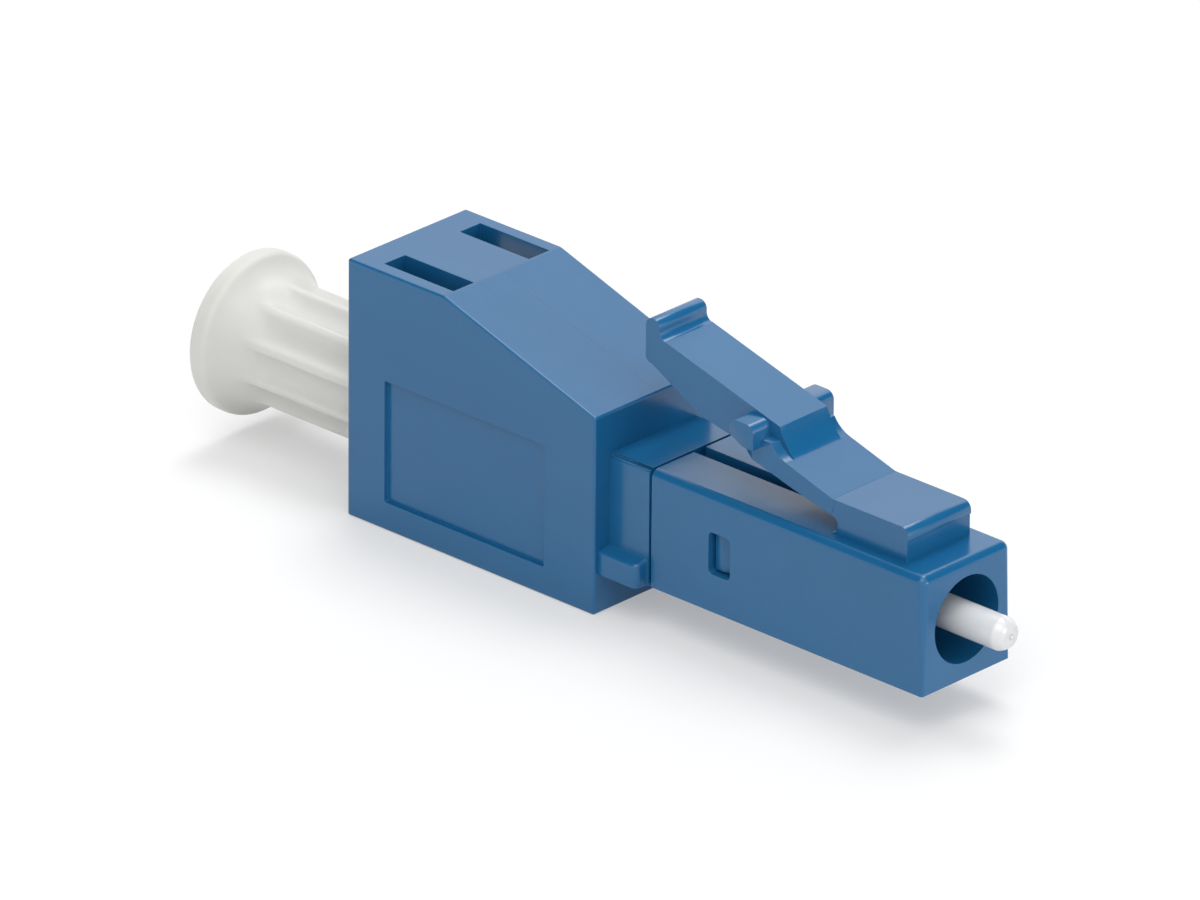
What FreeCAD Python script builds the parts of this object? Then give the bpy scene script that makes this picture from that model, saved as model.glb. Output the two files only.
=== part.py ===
import FreeCAD, Part
import math
import os

# Plug-in fibre attenuator: a jack at the back, a sprung plug nose at the front. Sizes are in millimetres.
# X runs forward along the fibre, Y across and Z up. Z is counted from the housing's flat underside. X is
# counted from the housing's rear face for the housing and the dust plug, and from its front wall for the
# neck and all that stands on it. The pieces are saved with the origin in the middle of the underside.

# Fibre line
fibre_line_z = 3.76

# Housing outside
housing_length = 11.97
housing_width = 6.0
housing_height = 9.93
flat_top_length = 4.67
front_wall_height = 7.57
body_edge_radius = 0.1
ridge_radius = 0.3

# Label fields in the housing's sides
label_rear_x = 1.82
label_front_x = 9.55
label_bottom_z = 1.09
label_top_z = 5.77
label_depth = 0.18
label_corner_radius = 0.06

# Jack inside the housing
jack_depth = 10.6
channel_side = 4.72
latch_way_width = 4.86
roof_thickness = 0.73
ledge_length = 1.25
ledge_drop = 0.85
arm_way_width = 2.8

# Windows in the flat top, where a mated latch shows
window_front_x = 4.60

# Neck and lugs at the housing's front
neck_front_x = 1.94
neck_side = 4.48
neck_edge_radius = 0.22
neck_root_radius = 0.4
lug_front_x = 1.81
lug_width = 0.54
lug_inner_height = 1.00
lug_outer_height = 0.88
lug_front_radius = 0.25
lug_top_radius = 0.12

# Spigot that carries the nose
spigot_side = 3.50
spigot_front_x = 6.07
spigot_chamfer = 0.15
barb_rear_x = 4.79
barb_crest_x = 5.19
barb_front_x = 5.69
barb_height = 1.45
barb_reach = 1.94

# Bores through the housing
barrel_bore_radius = 1.30
collar_bore_radius = 1.45
collar_seat_x = 0.63

# Nose
seam = 0.08
nose_front_x = 14.79
nose_side = 4.48
nose_edge_radius = 0.32
socket_side = 3.58
socket_front_x = 6.23
round_bore_radius = 1.70
hexagon_bore_width = 2.88
hexagon_bore_rear_x = 7.43
hexagon_bore_front_x = 9.53
seat_rear_radius = 1.32
seat_front_radius = 1.02
seat_front_x = 9.93
throat_radius = 0.95
front_bore_rear_x = 10.73
front_bore_radius = 1.63
side_window_rear_x = 4.73
side_window_front_x = 5.75
side_window_height = 1.60
side_window_corner_radius = 0.20
slot_front_x = 8.83
slot_near_y = 0.02
slot_far_y = 0.50
slot_corner_radius = 0.15

# Latch: plate and root on the nose, arm, catch ears and thumb ridge behind
plate_width = 3.2
arm_width = 2.4
ear_width = 4.12
root_front_x = 13.48
root_top_z = 7.27
root_lip_radius = 0.35
root_lip_bottom_z = 6.82
root_undercut = 0.05
plate_bend_x = 9.93
gap_end_x = 9.87
gap_height = 0.64
step_foot_x = 7.78
step_foot_z = 7.90
step_top_x = 7.07
step_top_z = 8.95
step_hollow = 0.06
shelf_z = 8.45
shelf_front_x = 7.06
widening_rear_x = 5.33
widening_front_x = 6.13
underside_bend_x = 8.13
underside_bend_z = 7.03
tail_front_x = 3.33
tail_front_z = 8.29
ridge_rear_x = 0.70
ridge_front_x = 1.35
ridge_top_z = 11.13
ridge_round_radius = 0.30
ridge_foot_x = 1.65
ridge_foot_z = 10.42
ridge_foot_rise = 0.30
ridge_foot_hollow = 0.3
tail_bottom_x = 0.98
tail_bottom_z = 9.42
tail_round_radius = 0.25
ear_rear_x = 5.47
ear_front_x = 6.60
ear_top_z = 9.07
ear_rear_bottom_z = 8.50
ear_bottom_rear_x = 6.10
ear_bottom_z = 8.16
ear_round_radius = 0.32

# Hinge line that stands for the thin bending root of the latch
hinge_x = 9.50
hinge_z = 7.04
hinge_radius = 0.50
hinge_clearance = 0.02

# Ferrule with its fibre
ferrule_radius = 0.625
ferrule_rear_x = 0.26
ferrule_tip_x = 16.88
ferrule_tip_chamfer_length = 0.30
ferrule_tip_chamfer_depth = 0.15
ferrule_tip_dome = 0.10
ferrule_rear_chamfer = 0.15
fibre_radius = 0.0625
fibre_clearance = 0.005

# Metal flange pressed on the ferrule
flange_tube_rear_x = 6.43
flange_tube_radius = 0.95
flange_hexagon_rear_x = 8.33
flange_hexagon_front_x = 9.51
flange_hexagon_width = 2.80
flange_cone_rear_radius = 1.30
flange_cone_front_radius = 1.00
flange_front_x = 9.91
press_clearance = 0.005

# Spring, its seat, and the sleeve with its holder
fit_clearance = 0.02
spring_wire_radius = 0.11
spring_outer_radius = 1.25
spring_turns = 6
spring_end_clearance = 0.01
spring_steps_per_turn = 14
spring_wire_sides = 6
seat_ring_rear_x = 3.53
seat_ring_front_x = 4.03
seat_ring_hole_radius = 0.70
holder_rear_x = -3.67
holder_lip_length = 0.4
holder_lip_radius = 0.68
holder_bore_radius = 0.86
holder_chamfer = 0.12
sleeve_outer_radius = 0.81
sleeve_inner_radius = 0.64
sleeve_slot = 0.30
sleeve_length = 6.20

# Dust plug
plug_flange_rear_x = -7.88
plug_flange_radius = 3.06
plug_rim_thickness = 0.98
plug_rim_radius = 0.24
rim_flats = 3
flare_flats = 4
plug_shank_radius = 2.29
plug_flare_front_x = -5.4
plug_front_x = 9.6
plug_front_chamfer = 0.3
plug_bore_radius = 1.35
plug_bore_rear_x = -6.0
flute_count = 10
flute_root_radius = 1.95
flute_radius = 0.75
flute_rear_x = -5.4
flute_fade = 0.85
first_flute_angle = 34.0

# Cutting tools reach this far past the faces they open
overcut = 0.5
# Two places closer than this are the same place
same_place = 0.001


def at(x, y, z):
    return FreeCAD.Vector(x, y, z)


def box(x0, x1, y0, y1, z0, z1):
    return Part.makeBox(x1 - x0, y1 - y0, z1 - z0, at(x0, y0, z0))


def square_bar(x0, x1, side):
    """A square bar along the fibre line."""
    half = side / 2
    return box(x0, x1, -half, half, fibre_line_z - half, fibre_line_z + half)


def rod(x0, x1, radius):
    """A round bar along the fibre line."""
    return Part.makeCylinder(radius, x1 - x0, at(x0, 0, fibre_line_z), at(1, 0, 0))


def taper(x0, x1, radius0, radius1):
    """A cone along the fibre line."""
    return Part.makeCone(radius0, radius1, x1 - x0, at(x0, 0, fibre_line_z), at(1, 0, 0))


def hexagon_bar(x0, x1, width):
    """A hexagonal bar along the fibre line, with flats above and below."""
    corner_radius = width / math.sqrt(3)
    corners = []
    for corner in range(6):
        angle = math.radians(60 * corner)
        y = corner_radius * math.cos(angle)
        z = corner_radius * math.sin(angle)
        corners.append(at(x0, y, fibre_line_z + z))
    return flat_face(corners).extrude(at(x1 - x0, 0, 0))


def flat_face(corners):
    return Part.Face(Part.makePolygon(corners + corners[:1]))


def arc_corners(x, radius, round_radius, start_angle, end_angle, steps):
    """Corners along a round in x and radius, for edges that are turned in short flats."""
    corners = []
    for step in range(steps + 1):
        angle = math.radians(start_angle + (end_angle - start_angle) * step / steps)
        corners.append((x + round_radius * math.cos(angle), radius + round_radius * math.sin(angle)))
    return corners


def outline_face(steps, place):
    """A flat face from outline steps: a pair is a corner, two pairs are an arc's middle and its end."""
    edges = []
    last = place(*steps[0])
    for step in steps[1:] + steps[:1]:
        if isinstance(step[0], tuple):
            middle, end = place(*step[0]), place(*step[1])
            edges.append(Part.Arc(last, middle, end).toShape())
        else:
            end = place(*step)
            edges.append(Part.makeLine(last, end))
        last = end
    return Part.Face(Part.Wire(edges))


def side_slab(steps, width):
    """A side-view outline in x and z, given a width across the middle plane."""
    face = outline_face(steps, lambda x, z: at(x, -width / 2, z))
    return face.extrude(at(0, width, 0))


def plan_slab(steps, z0, z1):
    """A plan-view outline in x and y, raised from z0 to z1."""
    face = outline_face(steps, lambda x, y: at(x, y, z0))
    return face.extrude(at(0, 0, z1 - z0))


def turned(steps):
    """A body turned about the fibre line from an outline in x and radius."""
    face = outline_face(steps, lambda x, radius: at(x, 0, fibre_line_z + radius))
    return face.revolve(at(0, 0, fibre_line_z), at(1, 0, 0), 360)


def mirrored(shape):
    """The same shape on the other side of the middle plane."""
    return shape.mirror(at(0, 0, 0), at(0, 1, 0))


def both_sides(shape):
    return [shape, mirrored(shape)]


def lies_at(edge, x=None, y=None, z=None):
    """True for an edge that lies wholly at the given places; y counts on either side."""
    span = edge.BoundBox
    wanted = []
    if x is not None:
        wanted += [span.XMin - x, span.XMax - x]
    if y is not None:
        wanted += [abs(span.YMin) - y, abs(span.YMax) - y]
    if z is not None:
        wanted += [span.ZMin - z, span.ZMax - z]
    return all(abs(distance) < same_place for distance in wanted)


def reaches(edge, z):
    """True for an edge whose upper end is at the given height."""
    return abs(edge.BoundBox.ZMax - z) < same_place


def rounded(shape, radius, wanted):
    return shape.makeFillet(radius, [edge for edge in shape.Edges if wanted(edge)])


def chamfered(shape, size, wanted):
    return shape.makeChamfer(size, [edge for edge in shape.Edges if wanted(edge)])


def housing_body():
    """The outer block with its flat top and sloped front roof."""
    half = housing_width / 2
    body = side_slab(
        [
            (0, 0),
            (housing_length, 0),
            (housing_length, front_wall_height),
            (flat_top_length, housing_height),
            (0, housing_height),
        ],
        housing_width,
    )
    body = rounded(body, ridge_radius, lambda e: lies_at(e, x=flat_top_length, z=housing_height))
    return rounded(body, body_edge_radius, lambda e: lies_at(e, y=half))


def neck():
    half = neck_side / 2
    top = fibre_line_z + half
    bar = square_bar(-overcut, neck_front_x, neck_side)
    return rounded(bar, neck_edge_radius, lambda e: lies_at(e, y=half, z=top))


def neck_root_edge(edge):
    """True for an edge where the neck leaves the front wall."""
    span = edge.BoundBox
    reach = neck_side / 2 + same_place
    inside = abs(span.YMin) < reach and abs(span.YMax) < reach
    above = span.ZMin > fibre_line_z - reach
    below = span.ZMax < fibre_line_z + reach
    return lies_at(edge, x=housing_length) and inside and above and below


def lug():
    """One lug low on the neck's side, with a top that falls outwards."""
    inner = neck_side / 2
    outer = inner + lug_width
    bottom = fibre_line_z - inner
    steps = [
        (inner - overcut, bottom),
        (outer, bottom),
        (outer, bottom + lug_outer_height),
        (inner, bottom + lug_inner_height),
        (inner - overcut, bottom + lug_inner_height),
    ]
    face = outline_face(steps, lambda y, z: at(-overcut, y, z))
    block = face.extrude(at(lug_front_x + overcut, 0, 0))
    block = rounded(block, lug_front_radius, lambda e: lies_at(e, x=lug_front_x, y=outer))
    top = bottom + lug_outer_height
    return rounded(block, lug_top_radius, lambda e: lies_at(e, y=outer, z=top))


def latch_way():
    """The upper part of the jack, where a mated latch runs, under a roof of even thickness."""
    floor = fibre_line_z + channel_side / 2 - overcut
    top = housing_height - roof_thickness
    slope = (housing_height - front_wall_height) / (housing_length - flat_top_length)
    drop = roof_thickness * math.sqrt(1 + slope * slope)
    bend_x = flat_top_length + (housing_height - drop - top) / slope
    front_z = top - slope * (jack_depth - bend_x)
    way = side_slab(
        [
            (ledge_length, floor),
            (jack_depth, floor),
            (jack_depth, front_z),
            (bend_x, top),
            (ledge_length, top),
        ],
        latch_way_width,
    )
    half = latch_way_width / 2
    arm_half = arm_way_width / 2
    under_ledges = box(-overcut, ledge_length, -half, half, floor, top - ledge_drop)
    between_ledges = box(-overcut, ledge_length, -arm_half, arm_half, floor, top)
    lower = box(-overcut, jack_depth, -half, half, floor - overcut, fibre_line_z + channel_side / 2)
    return way.fuse([under_ledges, between_ledges]).cut(lower)


def roof_window():
    low = housing_height - roof_thickness - overcut
    high = housing_height + overcut
    return box(ledge_length, window_front_x, arm_way_width / 2, latch_way_width / 2, low, high)


def label_field():
    outer = housing_width / 2
    inner = outer - label_depth
    field = box(label_rear_x, label_front_x, inner, outer + overcut, label_bottom_z, label_top_z)
    return rounded(field, label_corner_radius, lambda e: e.BoundBox.YLength > label_depth)


def spigot():
    """The square stem inside the nose, with a snap barb on each side."""
    bar = square_bar(neck_front_x - overcut, spigot_front_x, spigot_side)
    bar = chamfered(bar, spigot_chamfer, lambda e: lies_at(e, x=spigot_front_x))
    root = spigot_side / 2 - spigot_chamfer
    face = spigot_side / 2
    low = fibre_line_z - barb_height / 2
    barb = plan_slab(
        [
            (barb_rear_x, root),
            (barb_front_x, root),
            (barb_front_x, face),
            (barb_crest_x, barb_reach),
            (barb_rear_x, barb_reach),
        ],
        low,
        low + barb_height,
    )
    return bar.fuse(both_sides(barb))


def housing():
    front = at(housing_length, 0, 0)
    shape = housing_body().fuse(neck().translated(front))
    shape = rounded(shape, neck_root_radius, neck_root_edge)
    stems = both_sides(lug()) + [spigot()]
    shape = shape.fuse([stem.translated(front) for stem in stems])
    cuts = [square_bar(-overcut, jack_depth, channel_side), latch_way()]
    cuts += both_sides(roof_window())
    cuts += both_sides(label_field())
    seat_x = housing_length + collar_seat_x
    cuts.append(rod(jack_depth - overcut, seat_x + overcut, barrel_bore_radius))
    cuts.append(rod(seat_x, housing_length + spigot_front_x + overcut, collar_bore_radius))
    return shape.cut(cuts).removeSplitter()


def latch_root():
    """The solid foot of the latch on the nose's top, with a lip and an undercut at its front."""
    top = fibre_line_z + nose_side / 2
    buried = top - nose_edge_radius
    gap_middle_z = top + gap_height / 2
    waist_x = root_front_x - root_undercut
    diagonal = 1 - math.sqrt(0.5)
    lip_middle_x = root_front_x - root_lip_radius * diagonal
    lip_middle_z = root_top_z - root_lip_radius * diagonal
    steps = [
        (gap_end_x, buried),
        (gap_end_x, top),
        ((gap_end_x + gap_height / 2, gap_middle_z), (gap_end_x, top + gap_height)),
        (gap_end_x, root_top_z),
        (root_front_x - root_lip_radius, root_top_z),
        ((lip_middle_x, lip_middle_z), (root_front_x, root_top_z - root_lip_radius)),
        (root_front_x, root_lip_bottom_z),
        (waist_x, root_lip_bottom_z - root_undercut),
        (waist_x, buried),
    ]
    return side_slab(steps, plate_width)


def hinge_round(radius, width):
    """A round bar across, on the hinge line of the latch."""
    return Part.makeCylinder(radius, width, at(hinge_x, -width / 2, hinge_z), at(0, 1, 0))


def nose_outside():
    """The square bar of the nose, with its upper and front edges rounded and its lower edges sharp."""
    half = nose_side / 2
    top = fibre_line_z + half
    bar = square_bar(neck_front_x + seam, nose_front_x, nose_side)
    return rounded(
        bar,
        nose_edge_radius,
        lambda e: lies_at(e, y=half, z=top) or (lies_at(e, x=nose_front_x) and reaches(e, top)),
    )


def plug_frame():
    rear_x = neck_front_x + seam
    shape = nose_outside()
    shape = shape.fuse(latch_root().cut(hinge_round(hinge_radius + hinge_clearance, plate_width + overcut)))
    half = nose_side / 2
    low = fibre_line_z - side_window_height / 2
    side_window = box(
        side_window_rear_x, side_window_front_x, spigot_side / 2 - overcut, half + overcut,
        low, low + side_window_height,
    )
    side_window = rounded(
        side_window, side_window_corner_radius, lambda e: e.BoundBox.YLength > overcut
    )
    slot = box(
        rear_x - overcut, slot_front_x, slot_near_y, slot_far_y,
        fibre_line_z + ferrule_radius, fibre_line_z + half + overcut,
    )
    cuts = [
        square_bar(rear_x - overcut, socket_front_x, socket_side),
        rod(socket_front_x - overcut, hexagon_bore_rear_x + overcut, round_bore_radius),
        hexagon_bar(hexagon_bore_rear_x, hexagon_bore_front_x, hexagon_bore_width),
        taper(hexagon_bore_front_x, seat_front_x, seat_rear_radius, seat_front_radius),
        rod(hexagon_bore_front_x, front_bore_rear_x + overcut, throat_radius),
        rod(front_bore_rear_x, nose_front_x + overcut, front_bore_radius),
        slot,
    ]
    cuts += both_sides(side_window)
    shape = shape.cut(cuts).removeSplitter()
    return rounded(shape, slot_corner_radius, lambda e: lies_at(e, x=rear_x, y=slot_near_y))


def underside_z(x):
    """Height of the arm's straight underside in front of the tail."""
    slope = (underside_bend_z - tail_front_z) / (underside_bend_x - tail_front_x)
    return tail_front_z + slope * (x - tail_front_x)


def arm_and_ridge():
    """The long arm with the thumb ridge on its tail and the step down to the plate."""
    step_middle_x = (step_foot_x + step_top_x) / 2 - step_hollow
    step_middle_z = (step_foot_z + step_top_z) / 2 - step_hollow
    foot_middle_x = ridge_front_x + (ridge_foot_x - ridge_front_x) * ridge_foot_hollow
    foot_middle_z = ridge_foot_z + ridge_foot_rise * ridge_foot_hollow
    arm = side_slab(
        [
            (step_foot_x, underside_z(step_foot_x)),
            (step_foot_x, step_foot_z),
            ((step_middle_x, step_middle_z), (step_top_x, step_top_z)),
            (ridge_foot_x, ridge_foot_z),
            ((foot_middle_x, foot_middle_z), (ridge_front_x, ridge_foot_z + ridge_foot_rise)),
            (ridge_front_x, ridge_top_z),
            (ridge_rear_x, ridge_top_z),
            (ridge_rear_x, tail_bottom_z),
            (tail_bottom_x, tail_bottom_z),
            (tail_front_x, tail_front_z),
        ],
        arm_width,
    )
    arm = rounded(arm, tail_round_radius, lambda e: lies_at(e, x=ridge_rear_x, z=tail_bottom_z))
    arm = rounded(arm, ridge_round_radius, lambda e: lies_at(e, x=ridge_rear_x, z=ridge_top_z))
    return rounded(arm, ridge_round_radius, lambda e: lies_at(e, x=ridge_front_x, z=ridge_top_z))


def plate():
    """The wide plate from the hinge line back to the low shelf beside the arm."""
    gap_top_z = fibre_line_z + nose_side / 2 + gap_height
    front_x = hinge_x + hinge_radius + overcut
    hollow_x = (step_foot_x + shelf_front_x) / 2 - step_hollow
    hollow_z = (step_foot_z + shelf_z) / 2 - step_hollow
    side = side_slab(
        [
            (widening_rear_x, underside_z(widening_rear_x)),
            (underside_bend_x, underside_bend_z),
            (gap_end_x, gap_top_z),
            (front_x, gap_top_z),
            (front_x, root_top_z),
            (plate_bend_x, root_top_z),
            (step_foot_x, step_foot_z),
            ((hollow_x, hollow_z), (shelf_front_x, shelf_z)),
            (widening_rear_x, shelf_z),
        ],
        plate_width,
    )
    narrow = arm_width / 2
    wide = plate_width / 2
    plan = plan_slab(
        [
            (widening_rear_x, -narrow),
            (widening_front_x, -wide),
            (front_x, -wide),
            (front_x, wide),
            (widening_front_x, wide),
            (widening_rear_x, narrow),
        ],
        fibre_line_z,
        ridge_top_z,
    )
    behind_hinge = box(widening_rear_x, hinge_x, -wide, wide, fibre_line_z, ridge_top_z)
    kept = behind_hinge.fuse(hinge_round(hinge_radius, plate_width))
    return side.common(plan).common(kept)


def ears():
    """The catch ears that stand out on both sides of the arm."""
    bar = side_slab(
        [
            (ear_rear_x, ear_rear_bottom_z),
            (ear_rear_x, ear_top_z),
            (ear_front_x, ear_top_z),
            (ear_front_x, ear_bottom_z),
            (ear_bottom_rear_x, ear_bottom_z),
        ],
        ear_width,
    )
    bar = rounded(bar, ear_round_radius, lambda e: lies_at(e, x=ear_rear_x, z=ear_top_z))
    return rounded(bar, ear_round_radius, lambda e: lies_at(e, x=ear_front_x, z=ear_top_z))


def latch_lever():
    return arm_and_ridge().fuse([plate(), ears()]).removeSplitter()


def ferrule():
    body_end_x = ferrule_tip_x - ferrule_tip_dome - ferrule_tip_chamfer_length
    face_radius = ferrule_radius - ferrule_tip_chamfer_depth
    face_x = ferrule_tip_x - ferrule_tip_dome
    dome_radius = (face_radius**2 + ferrule_tip_dome**2) / (2 * ferrule_tip_dome)
    dome_middle_x = ferrule_tip_x - dome_radius + math.sqrt(dome_radius**2 - (face_radius / 2) ** 2)
    stub = turned(
        [
            (ferrule_rear_x, 0),
            (ferrule_rear_x, ferrule_radius - ferrule_rear_chamfer),
            (ferrule_rear_x + ferrule_rear_chamfer, ferrule_radius),
            (body_end_x, ferrule_radius),
            (face_x, face_radius),
            ((dome_middle_x, face_radius / 2), (ferrule_tip_x, 0)),
        ]
    )
    bore = rod(ferrule_rear_x - overcut, ferrule_tip_x + overcut, fibre_radius + fibre_clearance)
    return stub.cut(bore)


def attenuating_fibre():
    return rod(ferrule_rear_x, ferrule_tip_x, fibre_radius)


def ferrule_flange():
    """Press-on tube, turning-stop hexagon and the cone that seats in the nose."""
    tube = rod(flange_tube_rear_x, flange_hexagon_rear_x + overcut, flange_tube_radius)
    hexagon = hexagon_bar(flange_hexagon_rear_x, flange_hexagon_front_x, flange_hexagon_width)
    cone = taper(
        flange_hexagon_front_x, flange_front_x, flange_cone_rear_radius, flange_cone_front_radius
    )
    bore = rod(flange_tube_rear_x - overcut, flange_front_x + overcut, ferrule_radius + press_clearance)
    return tube.fuse([hexagon, cone]).cut(bore).removeSplitter()


def wire_section(x, turn_angle):
    """The corners of the spring's wire where it has turned by an angle about the fibre line."""
    coil_radius = spring_outer_radius - spring_wire_radius
    corners = []
    for side in range(spring_wire_sides):
        angle = 2 * math.pi * side / spring_wire_sides
        distance = coil_radius + spring_wire_radius * math.cos(angle)
        y = distance * math.cos(turn_angle)
        z = fibre_line_z + distance * math.sin(turn_angle)
        corners.append(at(x + spring_wire_radius * math.sin(angle), y, z))
    return corners


def ferrule_spring():
    """Open coil spring between the seat ring and the flange's hexagon, its wire in short straight steps."""
    end = spring_wire_radius + spring_end_clearance
    length = flange_hexagon_rear_x - seat_ring_front_x - 2 * end
    steps = spring_turns * spring_steps_per_turn
    sections = []
    for step in range(steps + 1):
        x = seat_ring_front_x + end + length * step / steps
        sections.append(wire_section(x, 2 * math.pi * step / spring_steps_per_turn))
    faces = []
    for near, far in zip(sections, sections[1:]):
        for side in range(spring_wire_sides):
            a, b = near[side - 1], near[side]
            c, d = far[side], far[side - 1]
            faces.append(flat_face([a, b, c]))
            faces.append(flat_face([a, c, d]))
    faces += [flat_face(sections[0]), flat_face(sections[-1])]
    coil = Part.Solid(Part.Shell(faces))
    return coil if coil.Volume > 0 else coil.reversed()


def spring_seat():
    outer = collar_bore_radius - fit_clearance
    ring = rod(seat_ring_rear_x, seat_ring_front_x, outer)
    return ring.cut(rod(seat_ring_rear_x - overcut, seat_ring_front_x + overcut, seat_ring_hole_radius))


def split_sleeve():
    front_x = seat_ring_rear_x - fit_clearance
    rear_x = front_x - sleeve_length
    tube = rod(rear_x, front_x, sleeve_outer_radius)
    tube = tube.cut(rod(rear_x - overcut, front_x + overcut, sleeve_inner_radius))
    top = fibre_line_z + sleeve_outer_radius + overcut
    slot = box(rear_x - overcut, front_x + overcut, -sleeve_slot / 2, sleeve_slot / 2, fibre_line_z, top)
    return tube.cut(slot)


def sleeve_holder():
    """The barrel that stands in the jack, with its collar seated in the housing."""
    barrel_radius = barrel_bore_radius - fit_clearance
    collar_radius = collar_bore_radius - fit_clearance
    collar_x = collar_seat_x + fit_clearance
    body = turned(
        [
            (holder_rear_x, 0),
            (holder_rear_x, barrel_radius - holder_chamfer),
            (holder_rear_x + holder_chamfer, barrel_radius),
            (collar_x, barrel_radius),
            (collar_x, collar_radius),
            (seat_ring_rear_x, collar_radius),
            (seat_ring_rear_x, 0),
        ]
    )
    body = body.cut(rod(holder_rear_x - overcut, seat_ring_rear_x, holder_lip_radius))
    return body.cut(rod(holder_rear_x + holder_lip_length, seat_ring_rear_x + overcut, holder_bore_radius))


def flute(angle):
    """One flute cutter laid along the shank, tapered where the flute fades out into the flare."""
    distance = flute_root_radius + flute_radius
    y = distance * math.cos(math.radians(angle))
    z = fibre_line_z + distance * math.sin(math.radians(angle))
    length = plug_front_x + overcut - flute_rear_x
    groove = Part.makeCylinder(flute_radius, length, at(flute_rear_x, y, z), at(1, 0, 0))
    fade = Part.makeCone(flute_radius, 0, flute_fade, at(flute_rear_x, y, z), at(-1, 0, 0))
    return groove.fuse(fade)


def dust_plug():
    rim_front_x = plug_flange_rear_x + plug_rim_thickness
    rim_top_radius = plug_flange_radius - plug_rim_radius
    rise = rim_top_radius - plug_shank_radius
    run = plug_flare_front_x - rim_front_x
    flare_radius = (run**2 + rise**2) / (2 * rise)
    flare_turn = math.degrees(math.asin(run / flare_radius))
    steps = [(plug_flange_rear_x, 0)]
    steps += arc_corners(
        plug_flange_rear_x + plug_rim_radius, rim_top_radius, plug_rim_radius, 180, 90, rim_flats
    )
    steps += arc_corners(
        rim_front_x - plug_rim_radius, rim_top_radius, plug_rim_radius, 90, 0, rim_flats
    )
    steps += arc_corners(
        plug_flare_front_x, plug_shank_radius + flare_radius, flare_radius,
        270 - flare_turn, 270, flare_flats,
    )[1:]
    steps += [
        (plug_front_x - plug_front_chamfer, plug_shank_radius),
        (plug_front_x, plug_shank_radius - plug_front_chamfer),
        (plug_front_x, 0),
    ]
    step = 360 / flute_count
    cuts = [flute(first_flute_angle + step * number) for number in range(flute_count)]
    cuts.append(rod(plug_bore_rear_x, plug_front_x + overcut, plug_bore_radius))
    return turned(steps).cut(cuts)


# Each piece, and how far in front of the housing's rear face its own x is counted from
pieces = {
    "housing": (housing, 0),
    "plug_frame": (plug_frame, housing_length),
    "latch_lever": (latch_lever, housing_length),
    "ferrule": (ferrule, housing_length),
    "attenuating_fibre": (attenuating_fibre, housing_length),
    "ferrule_flange": (ferrule_flange, housing_length),
    "ferrule_spring": (ferrule_spring, housing_length),
    "spring_seat": (spring_seat, housing_length),
    "split_sleeve": (split_sleeve, housing_length),
    "sleeve_holder": (sleeve_holder, housing_length),
    "dust_plug": (dust_plug, 0),
}

os.makedirs("parts", exist_ok=True)
for node, (make, start_x) in pieces.items():
    shape = make().translated(at(start_x - housing_length / 2, 0, 0))
    shape.exportStep("parts/" + node + ".step")
    print(node, len(shape.Solids), "solid", shape.isValid(), round(shape.Volume, 3), "mm3")
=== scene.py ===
import bpy
import bmesh
import math
from mathutils import Matrix, Vector

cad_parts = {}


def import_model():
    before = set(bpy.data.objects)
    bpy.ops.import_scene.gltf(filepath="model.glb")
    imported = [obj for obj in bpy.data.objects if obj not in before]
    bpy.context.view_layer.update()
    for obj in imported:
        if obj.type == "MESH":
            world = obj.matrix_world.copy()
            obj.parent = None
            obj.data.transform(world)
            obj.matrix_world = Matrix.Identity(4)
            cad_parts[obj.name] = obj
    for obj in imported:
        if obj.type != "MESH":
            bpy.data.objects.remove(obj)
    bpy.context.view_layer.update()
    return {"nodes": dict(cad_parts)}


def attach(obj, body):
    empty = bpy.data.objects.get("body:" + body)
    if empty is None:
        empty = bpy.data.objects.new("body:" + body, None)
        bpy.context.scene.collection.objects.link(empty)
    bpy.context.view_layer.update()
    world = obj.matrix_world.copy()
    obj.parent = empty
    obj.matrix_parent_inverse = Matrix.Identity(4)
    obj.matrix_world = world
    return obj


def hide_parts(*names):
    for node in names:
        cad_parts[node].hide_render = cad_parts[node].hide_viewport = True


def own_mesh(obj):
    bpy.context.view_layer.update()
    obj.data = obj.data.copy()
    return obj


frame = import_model()

MM = 0.001
# Vertices that lie nearer than this to a place are taken as lying on it
SAME = 0.002 * MM
# Where the housing's rear face and its front wall lie in the row frame
REAR = -5.985 * MM
FRONT_WALL = 5.985 * MM
# Height of the line along the fibre
FIBRE_Z = 3.76 * MM
# The line across, on which the latch bends at its root
HINGE_X = 15.485 * MM
HINGE_Z = 7.04 * MM
# The neck and the nose share these faces, and the seam lies between their ends
SIDE_Y = 2.24 * MM
TOP_Z = 6.0 * MM
BOTTOM_Z = 1.52 * MM
NECK_END = 7.925 * MM
NOSE_END = 8.005 * MM
# The solids' rounds on the upper edges of the neck and the nose
NECK_ROUND = 0.22 * MM
NOSE_ROUND = 0.32 * MM
# How far the seam is opened
SEAM_GAIN = 0.04 * MM
# The dust plug's stem and its front end from the housing's rear face, in mm
STEM_RADIUS = 2.29
PLUG_FRONT = 9.6
# Edges in a piece sharper than this stay sharp in the shading, in degrees
SHADING_BREAK = 38
PLUG_BREAK = 50


# Materials


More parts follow.
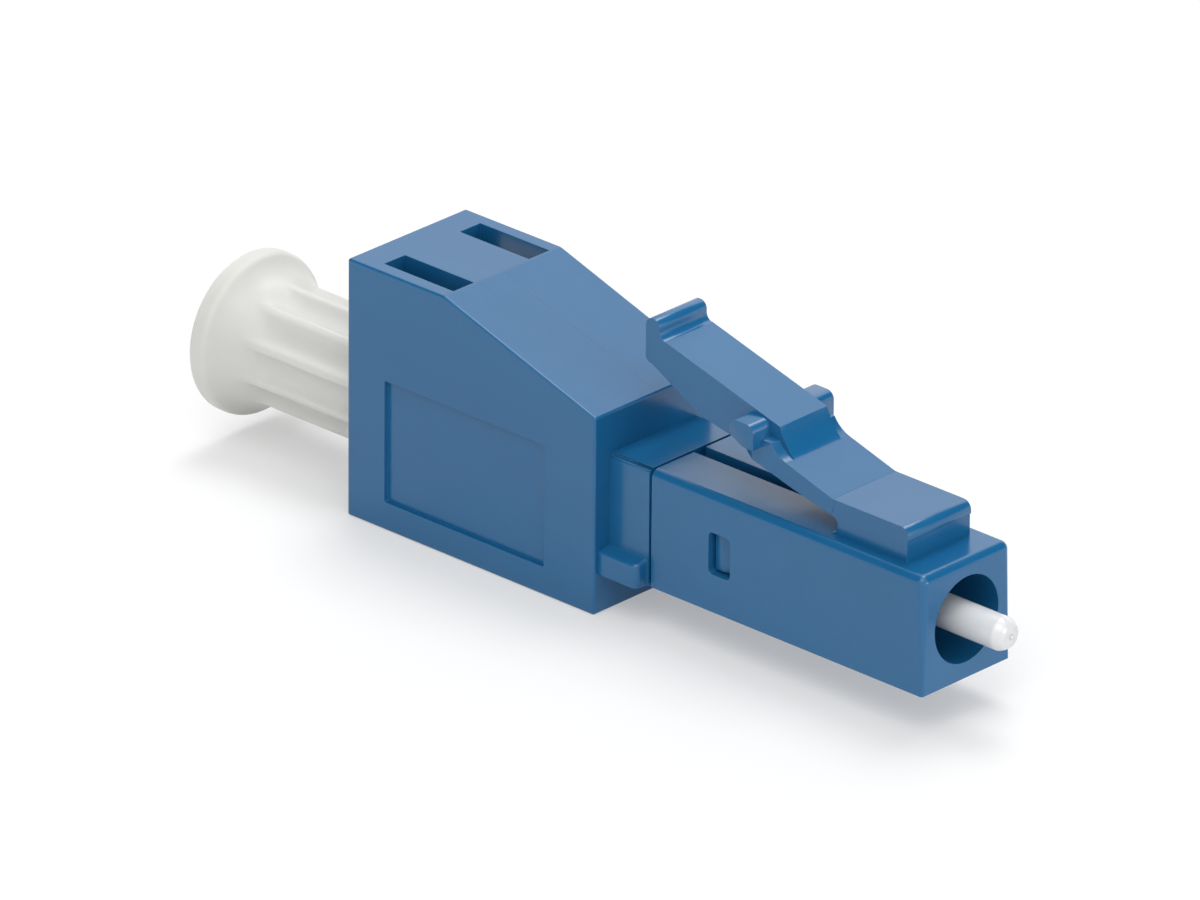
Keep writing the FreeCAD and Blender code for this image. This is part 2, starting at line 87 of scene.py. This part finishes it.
class Net:
    """A small helper for a material's nodes."""

    def __init__(self, name):
        self.material = bpy.data.materials.new(name)
        self.material.use_nodes = True
        self.tree = self.material.node_tree
        self.tree.nodes.clear()
        self.output = self.tree.nodes.new("ShaderNodeOutputMaterial")
        self.place = self.add("ShaderNodeTexCoord").outputs["Object"]

    def add(self, kind, **settings):
        node = self.tree.nodes.new(kind)
        for key, value in settings.items():
            setattr(node, key, value)
        return node

    def put(self, value, socket):
        if isinstance(value, bpy.types.NodeSocket):
            self.tree.links.new(value, socket)
        else:
            socket.default_value = value

    def math(self, operation, *values):
        node = self.add("ShaderNodeMath", operation=operation)
        for socket, value in zip(node.inputs, values):
            self.put(value, socket)
        return node.outputs[0]

    def split(self):
        node = self.add("ShaderNodeSeparateXYZ")
        self.put(self.place, node.inputs[0])
        return node.outputs

    def stretched(self, x, y, z):
        """The texture place, scaled along each axis."""
        node = self.add("ShaderNodeMapping")
        self.put(self.place, node.inputs["Vector"])
        node.inputs["Scale"].default_value = (x, y, z)
        return node.outputs[0]

    def noise(self, scale, detail=2.0, rough=0.5, place=None):
        node = self.add("ShaderNodeTexNoise")
        self.put(place or self.place, node.inputs["Vector"])
        node.inputs["Scale"].default_value = scale
        node.inputs["Detail"].default_value = detail
        node.inputs["Roughness"].default_value = rough
        return node.outputs["Fac"]

    def spread(self, value, low, high, to_low, to_high):
        """A value from one range laid out over another, and held at its ends."""
        node = self.add("ShaderNodeMapRange", clamp=True)
        self.put(value, node.inputs["Value"])
        self.put(low, node.inputs["From Min"])
        self.put(high, node.inputs["From Max"])
        self.put(to_low, node.inputs["To Min"])
        self.put(to_high, node.inputs["To Max"])
        return node.outputs["Result"]

    def mix(self, factor, first, second):
        node = self.add("ShaderNodeMix", data_type="RGBA", clamp_factor=True)
        self.put(factor, node.inputs["Factor"])
        colours = [s for s in node.inputs if s.type == "RGBA"]
        self.put(first, colours[0])
        self.put(second, colours[1])
        return [s for s in node.outputs if s.type == "RGBA"][0]

    def bump(self, height, strength, distance, under=None):
        node = self.add("ShaderNodeBump")
        self.put(height, node.inputs["Height"])
        node.inputs["Strength"].default_value = strength
        node.inputs["Distance"].default_value = distance
        if under is not None:
            self.put(under, node.inputs["Normal"])
        return node.outputs["Normal"]

    def line(self, across, middle, half_width, fade):
        """1 on a thin line where a coordinate is near its middle, 0 elsewhere."""
        off = self.math("ABSOLUTE", self.math("SUBTRACT", across, middle))
        return self.spread(off, half_width, half_width + fade, 1.0, 0.0)

    def between(self, value, low, high, fade):
        """1 between two values, 0 outside, with a fade on both sides."""
        rise = self.spread(value, low - fade, low, 0.0, 1.0)
        fall = self.spread(value, high, high + fade, 1.0, 0.0)
        return self.math("MULTIPLY", rise, fall)

    def shader(self, colour, roughness, normal, **sockets):
        """Closes the material with a principled shader and constants on its other sockets."""
        node = self.add("ShaderNodeBsdfPrincipled")
        self.put(colour, node.inputs["Base Color"])
        self.put(roughness, node.inputs["Roughness"])
        self.put(normal, node.inputs["Normal"])
        for key, value in sockets.items():
            node.inputs[key.replace("_", " ")].default_value = value
        self.put(node.outputs[0], self.output.inputs["Surface"])
        return self.material


BLUE = (0.0090, 0.110, 0.262, 1)
BLUE_PALE = (0.0100, 0.116, 0.274, 1)
BLUE_DEEP = (0.0080, 0.103, 0.249, 1)
BLUE_MARK = (0.003, 0.024, 0.085, 1)


def blue_plastic(name, marks=None):
    """Moulded blue plastic: faint flow shading, fine satin grain and a few soft sink marks."""
    net = Net(name)
    flow = net.noise(160, 3.0, 0.55, net.stretched(0.45, 1.0, 1.3))
    tone = net.mix(net.spread(flow, 0.32, 0.68, 0.0, 1.0), BLUE_DEEP, BLUE_PALE)
    cloud = net.noise(420, 2.0)
    tone = net.mix(net.spread(cloud, 0.4, 0.75, 0.0, 0.35), tone, BLUE)
    rough = net.spread(net.noise(900, 3.0), 0.3, 0.7, 0.19, 0.26)
    normal = net.bump(net.noise(2600, 1.0), 0.10, 0.012 * MM)
    normal = net.bump(net.noise(180, 0.0), 0.12, 0.10 * MM, normal)
    if marks:
        mask = marks(net)
        tone = net.mix(net.math("MULTIPLY", mask, 0.62), tone, BLUE_MARK)
        normal = net.bump(net.math("SUBTRACT", 1.0, mask), 0.12, 0.02 * MM, normal)
    return net.shader(tone, rough, normal, IOR=1.5)


def housing_marks(net):
    """The mould's parting line down the slope and the witness line beside the windows."""
    x, y, z = net.split()
    ridge_x, slope_end = 4.75 * MM + REAR, 11.9 * MM + REAR
    wander = net.spread(net.noise(500, 2.0), 0.3, 0.7, -0.02 * MM, 0.02 * MM)
    drift = net.spread(x, 4.8 * MM + REAR, slope_end, 0.03 * MM, 0.16 * MM)
    parting = net.line(y, net.math("ADD", drift, wander), 0.006 * MM, 0.022 * MM)
    for share in (
        net.between(x, ridge_x, slope_end, 0.05 * MM),
        net.spread(z, 7.3 * MM, 7.5 * MM, 0.0, 1.0),
        net.spread(net.noise(900, 2.0), 0.35, 0.6, 0.35, 1.0),
    ):
        parting = net.math("MULTIPLY", parting, share)
    witness = net.line(x, 4.62 * MM + REAR, 0.006 * MM, 0.02 * MM)
    witness = net.math("MULTIPLY", witness, net.spread(z, 9.8 * MM, 9.86 * MM, 0.0, 0.7))
    return net.math("MAXIMUM", parting, witness)


def milky_plastic():
    """The dust plug's soft, milky plastic, which lets some light in."""
    net = Net("milky_plastic")
    flow = net.noise(240, 3.0, 0.5, net.stretched(0.3, 1.0, 1.0))
    tone = net.mix(
        net.spread(flow, 0.3, 0.7, 0.0, 1.0), (0.585, 0.585, 0.558, 1), (0.645, 0.645, 0.618, 1)
    )
    rough = net.spread(net.noise(1200, 3.0), 0.3, 0.7, 0.38, 0.52)
    normal = net.bump(net.noise(5000, 2.0), 0.12, 0.02 * MM)
    normal = net.bump(net.noise(350, 2.0), 0.12, 0.08 * MM, normal)
    return net.shader(
        tone, rough, normal, IOR=1.5,
        Subsurface_Weight=0.4, Subsurface_Scale=0.8 * MM, Subsurface_Radius=(1.0, 1.0, 0.95),
    )


def zirconia():
    """White polished ceramic."""
    net = Net("zirconia_white")
    cloud = net.noise(700, 3.0)
    tone = net.mix(
        net.spread(cloud, 0.3, 0.7, 0.0, 1.0), (0.62, 0.63, 0.64, 1), (0.68, 0.69, 0.70, 1)
    )
    rough = net.spread(net.noise(2500, 3.0), 0.3, 0.7, 0.12, 0.22)
    normal = net.bump(net.noise(12000, 2.0), 0.05, 0.006 * MM)
    return net.shader(
        tone, rough, normal, IOR=1.7,
        Subsurface_Weight=0.3, Subsurface_Scale=0.3 * MM, Subsurface_Radius=(1.0, 1.0, 1.0),
    )


def metal(name, light, dark, low, high, stretch):
    """Turned or drawn metal with fine marks along one way."""
    net = Net(name)
    marks = net.noise(3000, 3.0, 0.6, net.stretched(*stretch))
    tone = net.mix(net.spread(marks, 0.3, 0.7, 0.0, 1.0), dark, light)
    rough = net.spread(net.noise(1500, 3.0), 0.3, 0.7, low, high)
    normal = net.bump(marks, 0.15, 0.008 * MM)
    return net.shader(tone, rough, normal, Metallic=1.0)


def holder_plastic():
    """Black moulded plastic of the sleeve holder inside."""
    net = Net("holder_black")
    cloud = net.noise(600, 3.0)
    tone = net.mix(
        net.spread(cloud, 0.3, 0.7, 0.0, 1.0), (0.018, 0.018, 0.020, 1), (0.03, 0.03, 0.032, 1)
    )
    rough = net.spread(net.noise(1500, 3.0), 0.3, 0.7, 0.4, 0.55)
    normal = net.bump(net.noise(7000, 2.0), 0.15, 0.01 * MM)
    return net.shader(tone, rough, normal, IOR=1.5)


def fibre_glass():
    """Clear glass of the fibre in the ferrule's bore."""
    net = Net("fibre_glass_clear")
    cloud = net.noise(2000, 2.0)
    tone = net.mix(
        net.spread(cloud, 0.3, 0.7, 0.0, 1.0), (0.78, 0.82, 0.86, 1), (0.86, 0.89, 0.92, 1)
    )
    rough = net.spread(net.noise(4000, 2.0), 0.3, 0.7, 0.03, 0.08)
    normal = net.bump(net.noise(20000, 2.0), 0.05, 0.004 * MM)
    return net.shader(tone, rough, normal, IOR=1.46, Transmission_Weight=0.15)


# Pieces


def placed(name, data):
    """A new object in the scene, for a mesh, a lamp or a camera."""
    obj = bpy.data.objects.new(name, data)
    bpy.context.scene.collection.objects.link(obj)
    return obj


def off_hinge(point):
    """How far a point lies from the line on which the latch bends."""
    return math.hypot(point.x - HINGE_X, point.z - HINGE_Z)


def closed_hinge(grid):
    """Draws the latch's root up to the round of the lever, so that the moulding looks whole."""
    solid_radius, closed_radius = 0.52 * MM, 0.508 * MM
    for vert in grid.verts:
        if abs(off_hinge(vert.co) - solid_radius) < SAME:
            rise = vert.co.z - HINGE_Z
            vert.co.x = HINGE_X + math.sqrt(closed_radius**2 - rise**2)


def square_neck_end(grid):
    """Takes back the round on the neck's upper front edge and opens the seam a hair."""
    for vert in grid.verts:
        in_round = vert.co.z > TOP_Z - NECK_ROUND - SAME
        if in_round and NECK_END - NECK_ROUND - SAME < vert.co.x < NECK_END + SAME:
            vert.co.x = NECK_END
        if abs(vert.co.x - NECK_END) < SAME:
            vert.co.x = NECK_END - SEAM_GAIN


def tight_far_edge(grid):
    """Makes the round on the neck's far upper edge smaller, so that it hides what lies behind."""
    gain, past = 0.6, -0.02 * MM
    for vert in grid.verts:
        inset, under = SIDE_Y - vert.co.y, TOP_Z - vert.co.z
        on_neck = vert.co.x >= FRONT_WALL - SAME
        if on_neck and past < min(inset, under) and max(inset, under) < NECK_ROUND + SAME:
            vert.co.y += gain * inset
            vert.co.z += gain * under


def square_nose_end(grid):
    """Takes back the round on the nose's upper rear edge, which is sharp at the seam."""
    middle_x, middle_z = NOSE_END + NOSE_ROUND, TOP_Z - NOSE_ROUND
    for vert in grid.verts:
        if NOSE_END - SAME < vert.co.x < middle_x + SAME and vert.co.z > middle_z - SAME:
            inset = NOSE_ROUND - math.hypot(vert.co.x - middle_x, vert.co.z - middle_z)
            if inset < NOSE_ROUND / 2:
                vert.co.x = NOSE_END + max(inset, 0)


def tapered_nose_edges(grid):
    """Lets the rounds of the nose's upright front edges run out towards the sharp lower corners."""
    front, share, reach = 20.775 * MM, 0.3, NOSE_ROUND + 0.0005 * MM
    for vert in grid.verts:
        inward, inset = front - vert.co.x, SIDE_Y - abs(vert.co.y)
        if vert.co.z < BOTTOM_Z + 0.01 * MM and inward < reach and inset < reach:
            vert.co.x = front - share * inward
            vert.co.y = math.copysign(SIDE_Y - share * inset, vert.co.y)


def sharp_neck_root(grid):
    """Takes back the hollow round between the neck and the front wall, sharp in the photo."""
    lug_top, lug_fall = 2.52 * MM, 0.12 / 0.54
    reach, near = 0.401 * MM, 0.003 * MM
    for vert in grid.verts:
        ahead = vert.co.x - FRONT_WALL
        out_y, over, under = abs(vert.co.y) - SIDE_Y, vert.co.z - TOP_Z, BOTTOM_Z - vert.co.z
        across, up = out_y + NECK_ROUND, over + NECK_ROUND
        at_round = across > 0 and up > 0
        off = math.hypot(across, up) - NECK_ROUND if at_round else max(out_y, over, under)
        if not (-near < ahead < reach and -near < off < reach and max(ahead, off) > near):
            continue
        on_lug = out_y > near and abs(vert.co.z - (lug_top - lug_fall * out_y)) < near
        if at_round:
            scale = NECK_ROUND / (NECK_ROUND + off)
            out_y, over = across * scale - NECK_ROUND, up * scale - NECK_ROUND
        else:
            out_y, over = min(out_y, 0), min(over, 0)
        vert.co.x = FRONT_WALL
        vert.co.y = math.copysign(SIDE_Y + out_y, vert.co.y)
        if under > 0:
            vert.co.z = BOTTOM_Z
        elif on_lug:
            vert.co.z = lug_top - lug_fall * out_y
        else:
            vert.co.z = TOP_Z + over


def lowered_tail(grid):
    """Lowers the bend in the tail's underside by a hair."""
    bend_x, bend_z, near, drop = 9.315 * MM, 8.29 * MM, 0.02 * MM, 0.11 * MM
    for vert in grid.verts:
        if abs(vert.co.x - bend_x) < near and abs(vert.co.z - bend_z) < near:
            vert.co.z -= drop


def stays_crisp(line):
    """True for an edge that isn't softened: at the seam, at the neck's root or in the hinge."""
    root_side, root_bottom, root_top, hinge_reach = 2.9 * MM, 1.0 * MM, 7.0 * MM, 0.53 * MM
    ends = [vert.co for vert in line.verts]
    at_seam = any(
        all(abs(end.x - place) < SAME for end in ends)
        for place in (NECK_END - SEAM_GAIN, NOSE_END)
    )
    at_root = all(
        abs(end.x - FRONT_WALL) < SAME
        and abs(end.y) < root_side
        and root_bottom < end.z < root_top
        for end in ends
    )
    in_hinge = all(off_hinge(end) < hinge_reach for end in ends)
    return at_seam or at_root or in_hinge


def joined(grid):
    """Merges doubled vertices and the triangles of flat faces."""
    double, sliver, flat = 0.0008 * MM, 0.0004 * MM, math.radians(0.6)
    bmesh.ops.remove_doubles(grid, verts=grid.verts, dist=double)
    bmesh.ops.dissolve_degenerate(grid, dist=sliver, edges=grid.edges)
    bmesh.ops.dissolve_limit(grid, angle_limit=flat, verts=grid.verts, edges=grid.edges)


def dressed(node, name, body, material, touches=(), edge=0.03, sharp=38):
    """A finished piece on a CAD node's own shape: joined faces, softened edges and smooth rounds.

    Edges sharper than sharp, in degrees, are softened by edge, in mm.
    """
    grid = bmesh.new()
    grid.from_mesh(frame["nodes"][node].data)
    joined(grid)
    for shaped in touches:
        shaped(grid)
    joined(grid)
    softened = [
        line for line in grid.edges
        if not stays_crisp(line) and line.calc_face_angle() > math.radians(sharp)
    ]
    bmesh.ops.bevel(
        grid, geom=softened, offset=edge * MM, offset_type="OFFSET", segments=2, profile=0.5,
        affect="EDGES", clamp_overlap=True, miter_outer="SHARP",
    )
    mesh = bpy.data.meshes.new(name)
    grid.to_mesh(mesh)
    grid.free()
    piece = placed(name, mesh)
    mesh.polygons.foreach_set("use_smooth", [True] * len(mesh.polygons))
    mesh.set_sharp_from_angle(angle=math.radians(SHADING_BREAK))
    mesh.materials.append(material)
    even = piece.modifiers.new("even shading", "WEIGHTED_NORMAL")
    even.mode = "FACE_AREA"
    even.weight = 100
    even.keep_sharp = True
    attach(piece, body)
    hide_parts(node)
    return piece


def arc(middle_x, middle_radius, radius, start, sweep, steps):
    """Points on an arc in the plane of x and radius, in mm and degrees."""
    turns = [math.radians(start - sweep * step / steps) for step in range(steps + 1)]
    return [
        (middle_x + radius * math.cos(turn), middle_radius + radius * math.sin(turn))
        for turn in turns
    ]


def plug_profile():
    """The dust plug's outside, as x from the housing's rear face and radius, in mm.

    It starts at the rear rim's two rounds, goes down the hollow flare and ends with the stem.
    """
    points = arc(-7.64, 2.815, 0.24, 180, 90, 8) + arc(-7.336, 2.605, 0.45, 90, 43, 8)
    flare_start, flare_end, flare_radius, steps = -7.029, -5.4, 2.388, 36
    for step in range(1, steps + 1):
        x = flare_start + (flare_end - flare_start) * step / steps
        hollow = math.sqrt(flare_radius**2 - (x - flare_end) ** 2)
        points.append((x, STEM_RADIUS + flare_radius - hollow))
    chamfer = 0.3
    points += [(x, STEM_RADIUS) for x in (-4.6, -2.0, 1.0, 5.0, PLUG_FRONT - chamfer)]
    points.append((PLUG_FRONT, STEM_RADIUS - chamfer))
    return points


def flute_floor(turn):
    """The radius of the nearest flute's floor in one direction about the fibre line, in mm."""
    pitch, first, middle, round_radius = 36.0, 34.0, 2.70, 0.75
    reach, beside, rise = 0.745, 2.62, 0.1
    off = math.radians(abs((turn - first + pitch / 2) % pitch - pitch / 2))
    across = middle * math.sin(off)
    if across > reach:
        return beside + rise * (across - reach)
    return middle * math.cos(off) - math.sqrt(round_radius**2 - across**2)


def faded_ring(x, radius, count):
    """The dust plug's radii about the fibre line at one x: the flutes fade out into the flare."""
    fade_start, fade_length, softness, lift = -6.2, 1.35, 0.05, 0.001
    fade = min(max((x - fade_start) / fade_length, 0), 1)
    fade = fade * fade * (3 - 2 * fade)
    radii = []
    for number in range(count):
        depth = radius - flute_floor(360 * number / count)
        depth = 0.5 * (depth + math.hypot(depth, softness)) - lift
        radii.append(radius - fade * max(depth, 0))
    return radii


def soft_dust_plug(material):
    """The dust plug with a soft rim, rounded ribs and flutes that fade out into the flare."""
    count, bore_radius, bore_end = 240, 1.35, -6.0
    rings = [(x, faded_ring(x, radius, count)) for x, radius in plug_profile()]
    rings += [(x, [bore_radius] * count) for x in (PLUG_FRONT, bore_end)]
    points = []
    for x, radii in rings:
        for number, radius in enumerate(radii):
            turn = 2 * math.pi * number / count
            y, z = radius * math.cos(turn), radius * math.sin(turn)
            points.append((x * MM + REAR, y * MM, z * MM + FIBRE_Z))
    last = (len(rings) - 1) * count
    faces = [list(range(count))[::-1]]
    for start in range(0, last, count):
        for number in range(count):
            after = (number + 1) % count
            ahead = start + count
            faces.append((start + number, start + after, ahead + after, ahead + number))
    faces.append(list(range(last, last + count)))
    mesh = bpy.data.meshes.new("dust_plug_moulding")
    mesh.from_pydata(points, [], faces)
    grid = bmesh.new()
    grid.from_mesh(mesh)
    bmesh.ops.recalc_face_normals(grid, faces=grid.faces)
    grid.to_mesh(mesh)
    grid.free()
    mesh.polygons.foreach_set("use_smooth", [True] * len(mesh.polygons))
    mesh.set_sharp_from_angle(angle=math.radians(PLUG_BREAK))
    mesh.materials.append(material)
    piece = placed("dust_plug_moulding", mesh)
    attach(piece, "dust_plug")
    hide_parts("dust_plug")
    return piece


def closing_spring(material):
    """The coil spring: a copy of the CAD node's shape in spring wire, carried on the housing's
    body.
    """
    mesh = frame["nodes"]["ferrule_spring"].data.copy()
    mesh.name = "spring_coil"
    mesh.materials.clear()
    mesh.materials.append(material)
    piece = placed("spring_coil", mesh)
    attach(piece, "housing_body")
    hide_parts("ferrule_spring")
    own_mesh(piece)
    return piece


def finished_node(node, material):
    """Gives a CAD node that keeps its own shape its material."""
    materials = frame["nodes"][node].data.materials
    materials.clear()
    materials.append(material)


plain_blue = blue_plastic("blue_plastic_nose")
housing_blue = blue_plastic("blue_plastic_housing", housing_marks)
housing = dressed(
    "housing", "housing_moulding", "housing_body", housing_blue,
    [sharp_neck_root, square_neck_end, tight_far_edge],
)
nose = dressed(
    "plug_frame", "nose_moulding", "housing_body", plain_blue,
    [closed_hinge, tapered_nose_edges, square_nose_end],
)
latch = dressed("latch_lever", "latch_moulding", "latch", plain_blue, [lowered_tail])
ferrule = dressed("ferrule", "ferrule_ceramic", "ferrule_set", zirconia(), edge=0.06, sharp=20)
plug = soft_dust_plug(milky_plastic())
nickel = metal(
    "nickel_plate", (0.66, 0.64, 0.58, 1), (0.52, 0.50, 0.45, 1), 0.22, 0.34, (1.0, 0.15, 0.15)
)
steel = metal(
    "spring_wire", (0.60, 0.60, 0.61, 1), (0.42, 0.42, 0.43, 1), 0.25, 0.4, (0.3, 1.0, 1.0)
)
finished_node("attenuating_fibre", fibre_glass())
finished_node("ferrule_flange", nickel)
finished_node("spring_seat", nickel)
spring = closing_spring(steel)
finished_node("split_sleeve", zirconia())
finished_node("sleeve_holder", holder_plastic())


# Floor, light and camera


def staged_sheet(name, corners, material):
    """A square sheet that isn't part of the object."""
    mesh = bpy.data.meshes.new(name)
    mesh.from_pydata(corners, [], [(0, 1, 2, 3)])
    mesh.materials.append(material)
    placed(name, mesh)


def floor():
    """A pale floor that takes the shadow, and is lighter where the camera or a gloss shows it."""
    net = Net("floor_pale")
    sheet = net.add("ShaderNodeBsdfDiffuse")
    path = net.add("ShaderNodeLightPath")
    seen = net.math("MAXIMUM", path.outputs["Is Camera Ray"], path.outputs["Is Glossy Ray"])
    seen = net.math("MAXIMUM", seen, path.outputs["Is Transmission Ray"])
    lit, shown, glow_share = (0.70, 0.70, 0.70, 1), (0.82, 0.82, 0.82, 1), 0.33
    net.put(net.mix(seen, lit, shown), sheet.inputs["Color"])
    glow = net.add("ShaderNodeEmission")
    glow.inputs["Color"].default_value = (1, 1, 1, 1)
    glow.inputs["Strength"].default_value = 1.0
    both = net.add("ShaderNodeMixShader")
    net.put(net.math("MULTIPLY", seen, glow_share), both.inputs[0])
    net.put(sheet.outputs[0], both.inputs[1])
    net.put(glow.outputs[0], both.inputs[2])
    net.put(both.outputs[0], net.output.inputs["Surface"])
    half = 0.6
    corners = [(-half, -half, 0), (half, -half, 0), (half, half, 0), (-half, half, 0)]
    staged_sheet("floor", corners, net.material)


def dark_card(name, direction, distance, half):
    """A dark card outside the picture, which keeps its side of the studio dark in the gloss."""
    way = Vector(direction).normalized()
    side = way.cross(Vector((0, 0, 1))).normalized()
    rise = side.cross(way)
    corners = [
        way * distance + side * a * half + rise * b * half
        for a, b in ((-1, -1), (1, -1), (1, 1), (-1, 1))
    ]
    net = Net(name)
    sheet = net.add("ShaderNodeBsdfDiffuse")
    sheet.inputs["Color"].default_value = (0.02, 0.02, 0.02, 1)
    net.put(sheet.outputs[0], net.output.inputs["Surface"])
    staged_sheet(name, corners, net.material)


def soft_light(name, place, aim, size, watts):
    """A round area lamp."""
    light = bpy.data.lights.new(name, "AREA")
    light.shape = "DISK"
    light.size = size
    light.energy = watts
    obj = placed(name, light)
    direction = Vector(aim) - Vector(place)
    obj.location = place
    obj.rotation_euler = direction.to_track_quat("-Z", "Y").to_euler()


def world():
    """An even white surround."""
    setting = bpy.data.worlds.new("studio")
    bpy.context.scene.world = setting
    setting.use_nodes = True
    background = setting.node_tree.nodes["Background"]
    background.inputs["Color"].default_value = (1, 1, 1, 1)
    background.inputs["Strength"].default_value = 1.1


def camera():
    """The photograph's own view: 1200 by 900, a long lens, a slight roll."""
    azimuth, elevation, roll = math.radians(43.1625), math.radians(24.8492), math.radians(0.4597)
    distance = 610.6802 * MM
    target = Vector((3.4222 * MM, 0, 4.5577 * MM))
    focus_pixels, frame_pixels, sensor = 17449.75, 1200, 36.0
    right = Vector((math.cos(azimuth), math.sin(azimuth), 0))
    back = Vector(
        (
            math.sin(azimuth) * math.cos(elevation),
            -math.cos(azimuth) * math.cos(elevation),
            math.sin(elevation),
        )
    )
    up = back.cross(right)
    right, up = (
        math.cos(roll) * right + math.sin(roll) * up,
        -math.sin(roll) * right + math.cos(roll) * up,
    )
    data = bpy.data.cameras.new("camera")
    data.sensor_fit = "HORIZONTAL"
    data.sensor_width = sensor
    data.lens = sensor * focus_pixels / frame_pixels
    data.clip_start = 0.01
    data.clip_end = 10
    obj = placed("camera", data)
    rows = Matrix((right, up, back)).transposed().to_4x4()
    obj.matrix_world = Matrix.Translation(target + back * distance) @ rows
    bpy.context.scene.camera = obj


floor()
dark_card("card_right", (0.43, 0.66, 0.55), 0.50, 0.26)
dark_card("card_left", (-0.62, -0.42, 0.60), 0.50, 0.26)
soft_light("top_light", (-0.10, 0.26, 0.75), (0, 0, 0), 0.40, 2.1)
soft_light("front_light", (0.19, -0.34, 0.64), (0, 0, 0), 0.50, 1.3)
soft_light("nose_light", (0.70, 0.12, 0.10), (0, 0, 0.004), 0.18, 0.95)
soft_light("back_panel", (-0.245, 0.54, 0.54), (0, 0, 0), 0.64, 0.55)
world()
camera()

bpy.context.scene.view_settings.view_transform = "Standard"
